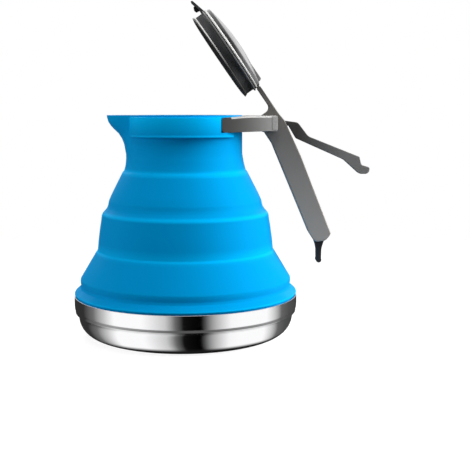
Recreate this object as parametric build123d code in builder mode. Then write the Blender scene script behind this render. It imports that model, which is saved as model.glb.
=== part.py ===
from build123d import *
import os
from math import asin, atan2, cos, hypot, radians, sin

os.makedirs("parts", exist_ok=True)

# Frame: the origin is on the kettle's axis at the flat underside of the pan. +X points to the handle,
# -X to the spout and +Z up. The kettle is drawn unfolded, with its lid swung open. All sizes are in mm.

# Steel pan
pan_radius = 85.0
pan_height = 31.5
pan_flat_radius = 68.0
pan_bowl_radius = 82.6
pan_step_height = 18.4
pan_groove_height = 19.6
pan_groove_radius = 0.8
pan_wall = 1.4
pan_floor = 1.2

# Silicone body: outer radius and height of each crease, from the pan upwards
clamp_ring_wall = 2.0
flange_wall = 2.0
flange_bottom = 22.5
skirt_top = (79.8, 43.3)
lower_wall_top = (66.6, 63.4)
shoulder_top = (59.3, 95.6)
upper_wall_top = (46.9, 124.2)
fold_wall = 2.7

# Neck, mouth and spout
neck_radius = 43.2
neck_wall = 2.4
rim_height = 166.5
mouth_radius = 35.0
lid_recess_radius = 36.2
lid_recess_depth = 2.9
lip_bottom = 157.0
spout_reach = 58.8
spout_tip_radius = 8.5
spout_wall = 2.4
sleeve_radius = 46.9
sleeve_bottom = 150.4
sleeve_top = 164.9
sleeve_left = -36.8
sleeve_right = 37.0

# Yoke that carries the handle
yoke_inner_radius = 43.0
yoke_outer_radius = 45.6
yoke_bottom = 154.3
yoke_top = 166.0
yoke_end = 68.9
yoke_half_width = 14.2
yoke_slot_half = 8.9
yoke_slot_start = 48.4
yoke_band_start = 28.0
hidden_ring_bottom = 155.2
hidden_ring_top = 163.6

# Handle rocker: the lid arm and the grip bar in one moulding, hinged on the yoke
hinge_x = 61.8
hinge_z = 158.4
hinge_pin_radius = 1.55
running_gap = 0.05
open_angle = 55.5
bar_half_width = 8.5
slot_half_width = 5.5
arm_half_width = 6.5
latch_pin_x = 88.8
latch_pin_z = -12.7
latch_pin_radius = 1.25

# Lid, measured in the rocker's own frame with the lid shut
lid_centre_x = -hinge_x
lid_plate_top = 8.9
lid_plate_thick = 2.7
lid_plate_radius = 35.2
plug_radius = 34.0
plug_depth = 9.8
seal_radius = 34.3
seal_thick = 2.2
seal_recess_radius = 30.5
seal_recess_depth = 1.4
gasket_radius = 32.6
gasket_thick = 1.0
cap_radius = 33.6
cap_band = 2.6
cap_rise = 3.2
knuckle_x = -29.4
knuckle_z = 10.75
knuckle_radius = 1.9
knuckle_pin_radius = 0.9

# Lever fixed to the yoke, and the latch that hooks it to the bar
lever_half_width = 4.2
latch_half_width = 5.1
latch_length = 21.3
latch_bead_radius = 2.1


def rocker_plane(x, z):
    """Side plane of the open rocker, with its origin at a point given for the shut lid."""
    turn = radians(open_angle)
    return Plane(
        origin=(
            hinge_x + x * cos(turn) + z * sin(turn),
            0,
            hinge_z - x * sin(turn) + z * cos(turn),
        ),
        x_dir=(cos(turn), 0, -sin(turn)),
        z_dir=(0, -1, 0),
    )


def lid_plane(z):
    """Plane square to the lid's axis, at a height given for the shut lid."""
    side = rocker_plane(lid_centre_x, z)
    return Plane(origin=side.origin, x_dir=side.x_dir, z_dir=side.y_dir)


def save(builder, name):
    builder.part.label = name
    export_step(builder.part, f"parts/{name}.step")


# Pan: a drawn steel bowl with a stepped side, a rolled groove and an upright wall
pan_inner = pan_radius - pan_wall
bowl_bend = pan_bowl_radius - pan_flat_radius
with BuildPart() as base_pan:
    with BuildSketch(Plane.XZ):
        with BuildLine():
            bend_height = bowl_bend
            Line((0, 0), (pan_flat_radius, 0))
            RadiusArc((pan_flat_radius, 0), (pan_bowl_radius, bend_height), -bowl_bend)
            groove_low = (pan_radius, pan_groove_height - pan_groove_radius)
            groove_high = (pan_radius, pan_groove_height + pan_groove_radius)
            Spline(
                (pan_bowl_radius, bend_height),
                (pan_radius, pan_step_height),
                tangents=[(0, 1), (0, 1)],
            )
            Line((pan_radius, pan_step_height), groove_low)
            groove_floor = (pan_radius - pan_groove_radius, pan_groove_height)
            ThreePointArc(groove_low, groove_floor, groove_high)
            Line(groove_high, (pan_radius, pan_height))
            Line((pan_radius, pan_height), (pan_inner, pan_height))
            step_inside = (pan_inner, pan_step_height)
            Line((pan_inner, pan_height), step_inside)
            bowl_inside = (pan_bowl_radius - pan_floor, bend_height)
            Spline(step_inside, bowl_inside, tangents=[(0, -1), (0, -1)])
            floor_edge = (pan_flat_radius, pan_floor)
            RadiusArc(bowl_inside, floor_edge, bowl_bend - pan_floor)
            Line(floor_edge, (0, pan_floor))
            Line((0, pan_floor), (0, 0))
        make_face()
    revolve(axis=Axis.Z)
save(base_pan, "base_pan")

# Clamp ring: presses the silicone flange outwards against the pan's wall
clamp_outer = pan_inner - flange_wall
clamp_inner = clamp_outer - clamp_ring_wall
with BuildPart() as clamp_ring:
    with BuildSketch(Plane.XY.offset(flange_bottom + 0.5)):
        Circle(clamp_outer)
        Circle(clamp_inner, mode=Mode.SUBTRACT)
    extrude(amount=pan_height - flange_bottom - 1.5)
    inner_edges = clamp_ring.edges().filter_by(GeomType.CIRCLE).group_by(SortBy.RADIUS)[0]
    chamfer(inner_edges, 0.6)
save(clamp_ring, "clamp_ring")

# Lower skirt: the silicone's foot, with a flange inside the pan and a step that rests on its edge
with BuildPart() as lower_skirt:
    with BuildSketch(Plane.XZ):
        with BuildLine():
            Polyline(
                (clamp_outer, flange_bottom),
                (pan_inner, flange_bottom),
                (pan_inner, pan_height),
                (pan_radius, pan_height),
                (pan_radius - 0.1, 33.3),
                (80.9, 37.4),
                (80.4, 40.4),
                skirt_top,
                (skirt_top[0] - fold_wall, skirt_top[1]),
                (77.9, 37.0),
                (clamp_outer, 32.0),
                close=True,
            )
        make_face()
    revolve(axis=Axis.Z)
save(lower_skirt, "lower_skirt")

# Lower fold wall: the sloping web that turns inside out when the kettle is pushed flat
with BuildPart() as lower_fold_wall:
    with BuildSketch(Plane.XZ):
        with BuildLine():
            Polyline(
                skirt_top,
                (73.7, 52.9),
                lower_wall_top,
                (lower_wall_top[0] - fold_wall, lower_wall_top[1]),
                (70.9, 52.6),
                (skirt_top[0] - fold_wall, skirt_top[1]),
                close=True,
            )
        make_face()
    revolve(axis=Axis.Z)
save(lower_fold_wall, "lower_fold_wall")

# Middle band: the stiff silicone ring between the two fold walls
with BuildPart() as middle_band:
    with BuildSketch(Plane.XZ):
        with BuildLine():
            Polyline(
                lower_wall_top,
                (65.5, 66.0),
                (64.6, 78.6),
                (63.7, 86.8),
                (62.5, 92.4),
                (61.6, 93.9),
                shoulder_top,
                (shoulder_top[0] - fold_wall, shoulder_top[1]),
                (59.2, 91.4),
                (61.0, 86.4),
                (61.9, 78.4),
                (62.5, 66.8),
                (lower_wall_top[0] - fold_wall, lower_wall_top[1]),
                close=True,
            )
        make_face()
    revolve(axis=Axis.Z)
save(middle_band, "middle_band")

# Upper fold wall: the second web that turns inside out
with BuildPart() as upper_fold_wall:
    with BuildSketch(Plane.XZ):
        with BuildLine():
            Polyline(
                shoulder_top,
                (56.5, 103.2),
                (51.7, 113.7),
                upper_wall_top,
                (upper_wall_top[0] - fold_wall, upper_wall_top[1]),
                (49.0, 113.5),
                (53.8, 103.0),
                (shoulder_top[0] - fold_wall, shoulder_top[1]),
                close=True,
            )
        make_face()
    revolve(axis=Axis.Z)
save(upper_fold_wall, "upper_fold_wall")

# Yoke: a half-hidden ring round the neck whose two arms meet the handle's hinge. The arms run straight
# from the ring to the hinge lugs, and pockets in their underside keep the wall even.
lug_distance = hypot(yoke_end, yoke_half_width)
tangent_turn = radians(90) - asin(yoke_outer_radius / lug_distance)
tangent_angle = atan2(yoke_half_width, yoke_end) + tangent_turn
tangent_x = yoke_outer_radius * cos(tangent_angle)
tangent_y = yoke_outer_radius * sin(tangent_angle)
ring_end_x = sleeve_left + 1.0
shelf_end = 54.0
shelf_top = 156.6
shelf_half_width = 5.0
lever_screw_x = 51.0
lever_screw_y = 2.6
screw_head_radius = 1.9
screw_head_height = 1.1
screw_shank_radius = 1.0
pin_blind_end = -12.4


with BuildPart() as handle_yoke:
    # Plan: the ring and the two arms, less the neck's room and the slot that the rocker turns in
    slot_length = yoke_end - yoke_slot_start
    with BuildSketch(Plane.XY.offset(yoke_bottom)):
        Circle(yoke_outer_radius)
        with BuildLine():
            Polyline(
                (tangent_x, tangent_y),
                (yoke_end, yoke_half_width),
                (yoke_end, -yoke_half_width),
                (tangent_x, -tangent_y),
                close=True,
            )
        make_face()
        Circle(yoke_inner_radius, mode=Mode.SUBTRACT)
        with Locations((yoke_slot_start + slot_length / 2, 0)):
            Rectangle(slot_length, 2 * yoke_slot_half, mode=Mode.SUBTRACT)
        with Locations(((yoke_band_start + yoke_end) / 2, 0)):
            Rectangle(yoke_end - yoke_band_start, 100, mode=Mode.INTERSECT)
    extrude(amount=yoke_top - yoke_bottom)
    long_top_edges = (
        handle_yoke.edges()
        .filter_by(GeomType.LINE)
        .filter_by(lambda e: e.length > 40 and e.center().Z > yoke_top - 0.1)
    )
    chamfer(long_top_edges, 1.1)
    with BuildSketch(Plane.XY.offset(hidden_ring_bottom)):
        Circle(yoke_outer_radius)
        Circle(yoke_inner_radius, mode=Mode.SUBTRACT)
        with Locations(((ring_end_x + yoke_band_start) / 2 + 1, 0)):
            Rectangle(yoke_band_start - ring_end_x + 2, 100, mode=Mode.INTERSECT)
    extrude(amount=hidden_ring_top - hidden_ring_bottom)
    # Pockets from below, one in each arm
    with BuildSketch(Plane.XY.offset(yoke_bottom)):
        for side in (-1, 1):
            with BuildLine():
                Polyline(
                    (38.6, side * 26.8),
                    (53.0, side * 19.0),
                    (53.0, side * 11.4),
                    (49.4, side * 11.4),
                    (45.5, side * 17.5),
                    close=True,
                )
            make_face()
    extrude(amount=yoke_top - yoke_bottom - 2.5, mode=Mode.SUBTRACT)
    # Shelf inside the slot that the lever's root is screwed to
    with BuildSketch(Plane.XY.offset(yoke_bottom)):
        with Locations(((yoke_slot_start + shelf_end) / 2, 0)):
            Rectangle(shelf_end - yoke_slot_start, 2 * shelf_half_width)
    extrude(amount=shelf_top - yoke_bottom)
    with Locations(Plane.XY.offset(yoke_bottom)):
        with Locations((lever_screw_x, lever_screw_y), (lever_screw_x, -lever_screw_y)):
            Cylinder(
                screw_head_radius,
                screw_head_height,
                align=(Align.CENTER, Align.CENTER, Align.MIN),
                mode=Mode.SUBTRACT,
            )
            Cylinder(
                screw_shank_radius,
                shelf_top - yoke_bottom,
                align=(Align.CENTER, Align.CENTER, Align.MIN),
                mode=Mode.SUBTRACT,
            )
    # Hinge pin bore, blind in the near lug
    with BuildSketch(Plane.XZ.offset(-pin_blind_end)):
        with Locations((hinge_x, hinge_z)):
            Circle(hinge_pin_radius)
    extrude(amount=-(yoke_half_width - pin_blind_end + 3), mode=Mode.SUBTRACT)
save(handle_yoke, "handle_yoke")

# Neck and spout: the thick silicone collar with the mouth, the pouring beak and the sleeve that
# grips the yoke's ring on both sides
spout_sections = [
    (135.0, 42.0, 27.0),
    (142.0, 45.2, 24.0),
    (147.0, 47.2, 18.0),
    (152.0, 50.3, 13.0),
    (157.0, 54.2, 10.5),
    (162.0, 57.3, 9.2),
    (rim_height, spout_reach, spout_tip_radius),
]


def beak_outline(root_radius, reach, tip_radius, wall):
    """One level of the beak: a rounded tip joined to the neck's circle by two tangent lines."""
    root = root_radius - wall
    tip = tip_radius - wall
    tip_x = -(reach - tip_radius)
    spread = asin((root - tip) / -tip_x) if root > tip else 0
    touch = radians(90) + spread
    root_touch = (root * cos(touch), root * sin(touch))
    tip_touch = (tip_x + tip * cos(touch), tip * sin(touch))
    with BuildLine() as outline:
        Line((root_touch[0], -root_touch[1]), (tip_touch[0], -tip_touch[1]))
        ThreePointArc((tip_touch[0], -tip_touch[1]), (tip_x - tip, 0), tip_touch)
        Line(tip_touch, root_touch)
        ThreePointArc(root_touch, (root, 0), (root_touch[0], -root_touch[1]))
    make_face(outline.edges())


beak_root = 30.0
window_bottom = yoke_bottom - 0.4
with BuildPart() as neck_and_spout:
    # Outside of the neck, from the upper fold to the rim
    with BuildSketch(Plane.XZ):
        with BuildLine():
            Polyline(
                (0, upper_wall_top[1]),
                upper_wall_top,
                (44.7, 129.4),
                (43.7, 134.5),
                (neck_radius, 145.0),
                (neck_radius, 165.7),
                (neck_radius - 0.8, rim_height),
                (0, rim_height),
                close=True,
            )
        make_face()
    revolve(axis=Axis.Z)
    # Beak
    for level, reach, tip_radius in spout_sections:
        with BuildSketch(Plane.XY.offset(level)):
            beak_outline(beak_root, reach, tip_radius, 0)
    loft()
    # Sleeve round the yoke's ring
    with BuildSketch(Plane.XY.offset(sleeve_bottom)):
        Circle(sleeve_radius)
        with Locations(((sleeve_left + sleeve_right) / 2, 0)):
            Rectangle(sleeve_right - sleeve_left, 100, mode=Mode.INTERSECT)
    extrude(amount=sleeve_top - sleeve_bottom)
    # Pocket for the hidden part of the ring
    for side in (-1, 1):
        with BuildSketch(Plane.XY.offset(hidden_ring_bottom)):
            Circle(yoke_outer_radius)
            Circle(yoke_inner_radius, mode=Mode.SUBTRACT)
            with Locations(((ring_end_x + yoke_band_start) / 2, side * 25)):
                Rectangle(yoke_band_start - ring_end_x, 50, mode=Mode.INTERSECT)
        extrude(amount=hidden_ring_top - hidden_ring_bottom, mode=Mode.SUBTRACT)
    # Inside: body, neck, mouth and lid recess
    with BuildSketch(Plane.XZ):
        with BuildLine():
            inner = neck_radius - neck_wall
            Polyline(
                (0, upper_wall_top[1]),
                (upper_wall_top[0] - fold_wall, upper_wall_top[1]),
                (42.1, 129.8),
                (41.2, 134.8),
                (inner, 145.0),
                (inner, 151.6),
                (mouth_radius, lip_bottom),
                (mouth_radius, rim_height - lid_recess_depth),
                (lid_recess_radius, rim_height - lid_recess_depth),
                (lid_recess_radius, rim_height),
                (0, rim_height),
                close=True,
            )
        make_face()
    revolve(axis=Axis.Z, mode=Mode.SUBTRACT)
    # Pouring channel through the lip into the beak
    for level, reach, tip_radius in spout_sections:
        with BuildSketch(Plane.XY.offset(level)):
            beak_outline(beak_root, reach, tip_radius, spout_wall)
    loft(mode=Mode.SUBTRACT)
    # Window that the yoke's arms come out of
    with BuildSketch(Plane.XY.offset(window_bottom)):
        with Locations(((yoke_band_start + sleeve_radius) / 2, 0)):
            Rectangle(sleeve_radius - yoke_band_start + 0.8, 100)
        Circle(yoke_inner_radius, mode=Mode.SUBTRACT)
    extrude(amount=rim_height - window_bottom, mode=Mode.SUBTRACT)
save(neck_and_spout, "neck_and_spout")

# Carry lever: a fixed finger rest that runs between the bar's rails, with a hook for the latch
with BuildPart() as carry_lever:
    with BuildSketch(Plane.XZ):
        with BuildLine():
            lever_corners = [
                ((yoke_slot_start, shelf_top), 0.8),
                ((shelf_end + 1.2, shelf_top), 1.0),
                ((58.4, 153.7), 1.5),
                ((66.0, 153.7), 1.5),
                ((70.4, 157.9), 2.0),
                ((78.0, 158.5), 1.2),
                ((83.6, 148.9), 3.0),
                ((119.8, 132.9), 9.0),
                ((131.6, 122.3), 4.0),
                ((139.0, 122.3), 3.2),
                ((139.4, 127.2), 1.3),
                ((133.1, 129.0), 2.6),
                ((131.6, 135.2), 1.0),
                ((92.8, 150.6), 7.0),
                ((84.9, 160.9), 4.0),
                ((67.0, 163.3), 9.0),
                ((yoke_slot_start, 163.3), 0.8),
            ]
            FilletPolyline(
                [corner for corner, bend in lever_corners],
                radius=[bend for corner, bend in lever_corners],
                close=True,
            )
        make_face()
    extrude(amount=lever_half_width, both=True)
    flanks = carry_lever.faces().filter_by(Axis.Y).group_by(SortBy.AREA)[-1]
    chamfer(flanks.edges(), 0.5)
    with BuildSketch(Plane.XZ):
        with Locations((hinge_x, hinge_z)):
            Circle(hinge_pin_radius)
    extrude(amount=lever_half_width, both=True, mode=Mode.SUBTRACT)
    with Locations(Plane.XY.offset(shelf_top)):
        with Locations((lever_screw_x, lever_screw_y), (lever_screw_x, -lever_screw_y)):
            Cylinder(
                screw_shank_radius,
                4.0,
                align=(Align.CENTER, Align.CENTER, Align.MIN),
                mode=Mode.SUBTRACT,
            )
save(carry_lever, "carry_lever")

# Two screws that hold the lever's root down on the yoke's shelf
with BuildPart() as lever_screws:
    with Locations(Plane.XY.offset(yoke_bottom)):
        with Locations((lever_screw_x, lever_screw_y), (lever_screw_x, -lever_screw_y)):
            Cylinder(
                screw_head_radius, screw_head_height, align=(Align.CENTER, Align.CENTER, Align.MIN)
            )
            Cylinder(
                screw_shank_radius,
                shelf_top - yoke_bottom + 4.0,
                align=(Align.CENTER, Align.CENTER, Align.MIN),
            )
save(lever_screws, "lever_screws")

# Hinge pin through the yoke's lugs, the bar's rails and the lever's eye
with BuildPart() as hinge_pin:
    with BuildSketch(Plane.XZ.offset(-pin_blind_end)):
        with Locations((hinge_x, hinge_z)):
            Circle(hinge_pin_radius)
    extrude(amount=-(yoke_half_width - pin_blind_end))
save(hinge_pin, "hinge_pin")

# Handle bar: two rails and an end bridge, with the lid arm as one moulding
rocker_side = rocker_plane(0, 0)
bar_corners = [
    ((-26.6, 9.3), 1.2),
    ((-8.7, 9.3), 4.2),
    ((-8.7, -4.4), 4.4),
    ((13.0, -4.6), 8.0),
    ((84.0, -19.4), 6.0),
    ((92.8, -19.7), 4.2),
    ((96.6, -12.0), 5.0),
    ((94.6, -5.9), 2.0),
    ((33.0, 8.1), 30.0),
    ((4.6, 13.0), 6.0),
    ((-3.0, 12.2), 20.0),
    ((-26.6, 12.2), 1.2),
]
with BuildPart() as handle_bar:
    with BuildSketch(rocker_side):
        with BuildLine():
            FilletPolyline(
                [corner for corner, bend in bar_corners],
                radius=[bend for corner, bend in bar_corners],
                close=True,
            )
        make_face()
    extrude(amount=bar_half_width, both=True)
    # Bright bevel along the rails' upper edges and a soft one below
    flanks = handle_bar.faces().filter_by(Axis.Y).group_by(SortBy.AREA)[-1]
    chamfer(flanks.edges(), 1.1)
    # Slot between the rails, closed above the hinge by the arm and at the far end by a bridge
    with BuildSketch(rocker_side):
        with BuildLine():
            Polyline(
                (-14.0, -24.0),
                (-14.0, 9.3),
                (-0.6, 9.3),
                (-0.6, 16.0),
                (84.4, 16.0),
                (84.4, -5.9),
                (99.0, -9.3),
                (99.0, -24.0),
                close=True,
            )
        make_face()
    extrude(amount=slot_half_width, both=True, mode=Mode.SUBTRACT)
    # The arm narrows towards the lid
    arm_top = rocker_plane(0, 8.0)
    with BuildSketch(Plane(origin=arm_top.origin, x_dir=arm_top.x_dir, z_dir=arm_top.y_dir)):
        for side in (-1, 1):
            with BuildLine():
                Polyline(
                    (-30.0, side * arm_half_width),
                    (-12.0, side * bar_half_width),
                    (-12.0, side * (bar_half_width + 4)),
                    (-30.0, side * (bar_half_width + 4)),
                    close=True,
                )
            make_face()
    extrude(amount=8.0, mode=Mode.SUBTRACT)
    # Knuckle for the lid's hinge at the arm's end
    with BuildSketch(rocker_side):
        with Locations((knuckle_x, knuckle_z)):
            Circle(knuckle_radius)
        with BuildLine():
            Polyline(
                (knuckle_x, knuckle_z + 1.45),
                (-26.0, 12.2),
                (-26.0, 9.3),
                (knuckle_x, knuckle_z - 1.45),
                close=True,
            )
        make_face()
    extrude(amount=3.4, both=True)
    with BuildSketch(rocker_side):
        Circle(hinge_pin_radius + running_gap)
        with Locations((knuckle_x, knuckle_z)):
            Circle(knuckle_pin_radius + running_gap)
        with Locations((latch_pin_x, latch_pin_z)):
            Circle(latch_pin_radius)
    extrude(amount=bar_half_width, both=True, mode=Mode.SUBTRACT)
save(handle_bar, "handle_bar")

# Latch pin pressed into the rails
with BuildPart() as latch_pin:
    with BuildSketch(rocker_side):
        with Locations((latch_pin_x, latch_pin_z)):
            Circle(latch_pin_radius)
    extrude(amount=bar_half_width - 0.3, both=True)
save(latch_pin, "latch_pin")

# Lid plate: the flange that drops into the mouth's recess, with a tab that covers the beak and two
# ears for the arm's knuckle
plate_bottom = lid_plate_top - lid_plate_thick
ear_inner = 3.8
ear_outer = 6.2
with BuildPart() as lid_plate:
    with BuildSketch(lid_plane(plate_bottom)):
        Circle(lid_plate_radius)
    extrude(amount=lid_plate_thick)
    chamfer(lid_plate.edges().filter_by(GeomType.CIRCLE), 0.5)
    with BuildSketch(rocker_side):
        with BuildLine():
            Polyline(
                (lid_centre_x - 30.0, lid_plate_top),
                (lid_centre_x - 34.6, lid_plate_top),
                (lid_centre_x - 37.0, 8.2),
                (lid_centre_x - 45.1, 6.0),
                (lid_centre_x - 45.2, 4.4),
                (lid_centre_x - 36.5, 6.4),
                (lid_centre_x - 30.0, 6.4),
                close=True,
            )
        make_face()
    extrude(amount=5.0, both=True)
    for side in (-1, 1):
        with BuildSketch(rocker_side.offset(side * (ear_inner + ear_outer) / 2)):
            with Locations((knuckle_x, knuckle_z)):
                Circle(knuckle_radius)
            with Locations((knuckle_x - 0.9, (knuckle_z + lid_plate_top) / 2 - 0.5)):
                Rectangle(3.8, knuckle_z - lid_plate_top + 1.0)
        extrude(amount=(ear_outer - ear_inner) / 2, both=True)
    with BuildSketch(rocker_side):
        with Locations((knuckle_x, knuckle_z)):
            Circle(knuckle_pin_radius)
    extrude(amount=ear_outer + 1, both=True, mode=Mode.SUBTRACT)
    # Relief in the plate under the knuckle
    with BuildSketch(rocker_side):
        with Locations((knuckle_x, knuckle_z)):
            Circle(knuckle_radius + 0.4)
    extrude(amount=ear_inner, both=True, mode=Mode.SUBTRACT)
    with BuildSketch(lid_plane(plate_bottom)):
        Circle(2.0)
    extrude(amount=lid_plate_thick, mode=Mode.SUBTRACT)
save(lid_plate, "lid_plate")

# Small rubber bumper under the tab
with BuildPart() as tab_bumper:
    with BuildSketch(rocker_side):
        with BuildLine():
            Polyline(
                (lid_centre_x - 41.0, 5.35),
                (lid_centre_x - 36.9, 6.3),
                (lid_centre_x - 36.9, 3.6),
                (lid_centre_x - 38.6, 2.3),
                (lid_centre_x - 40.6, 3.0),
                close=True,
            )
        make_face()
    extrude(amount=3.2, both=True)
save(tab_bumper, "tab_bumper")

# Lid plug: a shallow cup under the plate
plug_bottom = lid_plate_top - plug_depth
with BuildPart() as lid_plug:
    with BuildSketch(lid_plane(plug_bottom + seal_thick)):
        Circle(plug_radius)
    extrude(amount=plate_bottom - plug_bottom - seal_thick)
    with BuildSketch(lid_plane(plug_bottom + seal_thick + 1.6)):
        Circle(plug_radius - 1.8)
        Circle(5.0, mode=Mode.SUBTRACT)
    extrude(amount=plate_bottom - plug_bottom - seal_thick - 1.6, mode=Mode.SUBTRACT)
    with BuildSketch(lid_plane(plug_bottom + seal_thick)):
        Circle(1.6)
    extrude(amount=plate_bottom - plug_bottom, mode=Mode.SUBTRACT)
save(lid_plug, "lid_plug")

# Silicone sealing disc under the plug
with BuildPart() as lid_seal:
    with BuildSketch(lid_plane(plug_bottom)):
        Circle(seal_radius)
    extrude(amount=seal_thick)
    chamfer(lid_seal.edges().filter_by(GeomType.CIRCLE), 0.5)
    with BuildSketch(lid_plane(plug_bottom)):
        Circle(seal_recess_radius)
    extrude(amount=seal_recess_depth, mode=Mode.SUBTRACT)
    with BuildSketch(lid_plane(plug_bottom)):
        Circle(1.6)
    extrude(amount=seal_thick, mode=Mode.SUBTRACT)
save(lid_seal, "lid_seal")

# Steel washer and screw that hold seal, plug, plate and cap together
washer_radius = 9.0
washer_thick = 0.5
washer_top = plug_bottom + seal_recess_depth
washer_bottom = washer_top - washer_thick
with BuildPart() as seal_washer:
    with BuildSketch(lid_plane(washer_bottom)):
        Circle(washer_radius)
        Circle(1.6, mode=Mode.SUBTRACT)
    extrude(amount=washer_thick)
save(seal_washer, "seal_washer")

screw_top = lid_plate_top + gasket_thick + 2.0
lid_screw_head = 0.9
with BuildPart() as lid_screw:
    with BuildSketch(lid_plane(washer_bottom - lid_screw_head)):
        Circle(3.2)
    extrude(amount=lid_screw_head)
    fillet(lid_screw.edges().group_by(Axis(rocker_side.origin, rocker_side.y_dir))[0], 0.6)
    with BuildSketch(lid_plane(washer_bottom - lid_screw_head)):
        Rectangle(0.9, 7.0)
    extrude(amount=lid_screw_head / 2, mode=Mode.SUBTRACT)
    with BuildSketch(lid_plane(washer_bottom)):
        Circle(1.6)
    extrude(amount=screw_top - washer_bottom)
save(lid_screw, "lid_screw")

# Pale gasket between the plate and the cap
with BuildPart() as lid_gasket:
    with BuildSketch(lid_plane(lid_plate_top)):
        Circle(gasket_radius)
        Circle(gasket_radius - 4.0, mode=Mode.SUBTRACT)
        with Locations((knuckle_x - lid_centre_x, 0)):
            Rectangle(10.0, 2 * ear_outer + 0.8, mode=Mode.SUBTRACT)
    extrude(amount=gasket_thick)
save(lid_gasket, "lid_gasket")

# Lid cap: a low dome with a hinge housing over the knuckle
cap_bottom = lid_plate_top + gasket_thick
cap_top = cap_bottom + cap_band + cap_rise
dome_edge = cap_radius - 0.2
dome_radius = (dome_edge**2 + cap_rise**2) / (2 * cap_rise)
with BuildPart() as lid_cap:
    cap_side = rocker_plane(lid_centre_x, 0)
    lid_axis = Axis(cap_side.origin, cap_side.y_dir)
    with BuildSketch(cap_side):
        with BuildLine():
            Line((0, cap_bottom), (cap_radius - 0.5, cap_bottom))
            Line((cap_radius - 0.5, cap_bottom), (cap_radius, cap_bottom + 0.5))
            Line((cap_radius, cap_bottom + 0.5), (dome_edge, cap_bottom + cap_band))
            RadiusArc((dome_edge, cap_bottom + cap_band), (0, cap_top), -dome_radius)
            Line((0, cap_top), (0, cap_bottom))
        make_face()
    revolve(axis=lid_axis)
    # Housing that covers the knuckle and overhangs the arm
    with BuildSketch(rocker_side):
        with BuildLine():
            Polyline(
                (-53.0, 12.0),
                (-49.0, 16.0),
                (-43.0, 16.6),
                (-31.4, 15.4),
                (-30.6, 14.2),
                (-31.2, 12.0),
                close=True,
            )
        make_face()
    extrude(amount=8.0, both=True)
    # Hollow underside and the notch for the knuckle and ears
    with BuildSketch(cap_side):
        with BuildLine():
            Polyline(
                (4.5, cap_bottom),
                (gasket_radius - 4.4, cap_bottom),
                (gasket_radius - 4.4, cap_bottom + 1.5),
                (8.0, cap_bottom + 2.9),
                (4.5, cap_bottom + 2.9),
                close=True,
            )
        make_face()
        with Locations((0.8, cap_bottom + 1.0)):
            Rectangle(1.6, 2.0)
    revolve(axis=lid_axis, mode=Mode.SUBTRACT)
    with BuildSketch(rocker_side):
        with Locations((-28.5, 10.35)):
            Rectangle(7.4, 5.7)
    extrude(amount=ear_outer + 0.3, both=True, mode=Mode.SUBTRACT)
save(lid_cap, "lid_cap")

# Lid hinge pin, held in the plate's ears
with BuildPart() as lid_hinge_pin:
    with BuildSketch(rocker_side):
        with Locations((knuckle_x, knuckle_z)):
            Circle(knuckle_pin_radius)
    extrude(amount=ear_outer, both=True)
save(lid_hinge_pin, "lid_hinge_pin")

# Latch: a flat tongue that hangs from the bar's end and hooks the lever's notch with its bead
latch_origin = rocker_plane(latch_pin_x, latch_pin_z).origin
with BuildPart() as prop_latch:
    with BuildSketch(Plane(origin=latch_origin, x_dir=(1, 0, 0), z_dir=(0, -1, 0))):
        Circle(4.1)
        with BuildLine():
            Polyline(
                (-4.05, 0.5),
                (4.05, 0.5),
                (3.95, -6.2),
                (1.9, -13.3),
                (1.7, -latch_length),
                (-1.7, -latch_length),
                (-1.9, -13.3),
                (-3.95, -6.2),
                close=True,
            )
        make_face()
        with Locations((0, -latch_length)):
            Circle(latch_bead_radius)
        Circle(latch_pin_radius + running_gap, mode=Mode.SUBTRACT)
    extrude(amount=latch_half_width, both=True)
save(prop_latch, "prop_latch")
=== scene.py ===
import bpy
from math import atan2, cos, hypot, pi, radians, sin, tan
from mathutils import Matrix, Vector


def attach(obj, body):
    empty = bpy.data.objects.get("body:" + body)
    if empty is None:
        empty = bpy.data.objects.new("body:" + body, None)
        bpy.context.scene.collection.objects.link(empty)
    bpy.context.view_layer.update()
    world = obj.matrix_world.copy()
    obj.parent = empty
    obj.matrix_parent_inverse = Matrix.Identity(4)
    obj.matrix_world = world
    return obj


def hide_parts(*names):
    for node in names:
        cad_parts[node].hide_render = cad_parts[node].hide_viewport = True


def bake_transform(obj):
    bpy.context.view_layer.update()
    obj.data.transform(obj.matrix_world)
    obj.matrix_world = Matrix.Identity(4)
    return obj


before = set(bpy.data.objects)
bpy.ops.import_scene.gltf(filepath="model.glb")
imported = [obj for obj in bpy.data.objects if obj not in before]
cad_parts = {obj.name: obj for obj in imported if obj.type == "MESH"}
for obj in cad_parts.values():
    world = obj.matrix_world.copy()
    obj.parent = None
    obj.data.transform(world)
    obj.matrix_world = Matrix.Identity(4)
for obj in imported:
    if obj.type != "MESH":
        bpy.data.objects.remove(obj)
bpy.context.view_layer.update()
scene = bpy.context.scene


# Camera. Placed where the photograph's own camera was, as fitted to the kettle's outline.
CAMERA_DIP = 7.73  # degrees below the horizon

camera_data = bpy.data.cameras.new("camera")
camera = bpy.data.objects.new("camera", camera_data)
scene.collection.objects.link(camera)
camera.location = (0.03775, -0.7018, 0.1705)
camera.rotation_euler = (radians(90.0 - CAMERA_DIP), 0.0, 0.0)
camera_data.sensor_width = 36.0
camera_data.lens = 70.82
camera_data.clip_start = 0.01
camera_data.clip_end = 20.0
scene.camera = camera
scene.view_settings.view_transform = "Standard"

# Studio's sky. Plain and even, but gloss sees a set of white and dark upright cards instead of a
# room, with a bright ceiling above them and the dark of the table below.
world = bpy.data.worlds.new("studio")
scene.world = world
world.use_nodes = True
world_nodes = world.node_tree.nodes
world_links = world.node_tree.links
world_nodes.remove(world_nodes["Background"])


def even_sky(strength):
    """A white background of one strength."""
    sky = world_nodes.new("ShaderNodeBackground")
    sky.inputs["Color"].default_value = (1.0, 1.0, 1.0, 1.0)
    sky.inputs["Strength"].default_value = strength
    return sky


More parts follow.
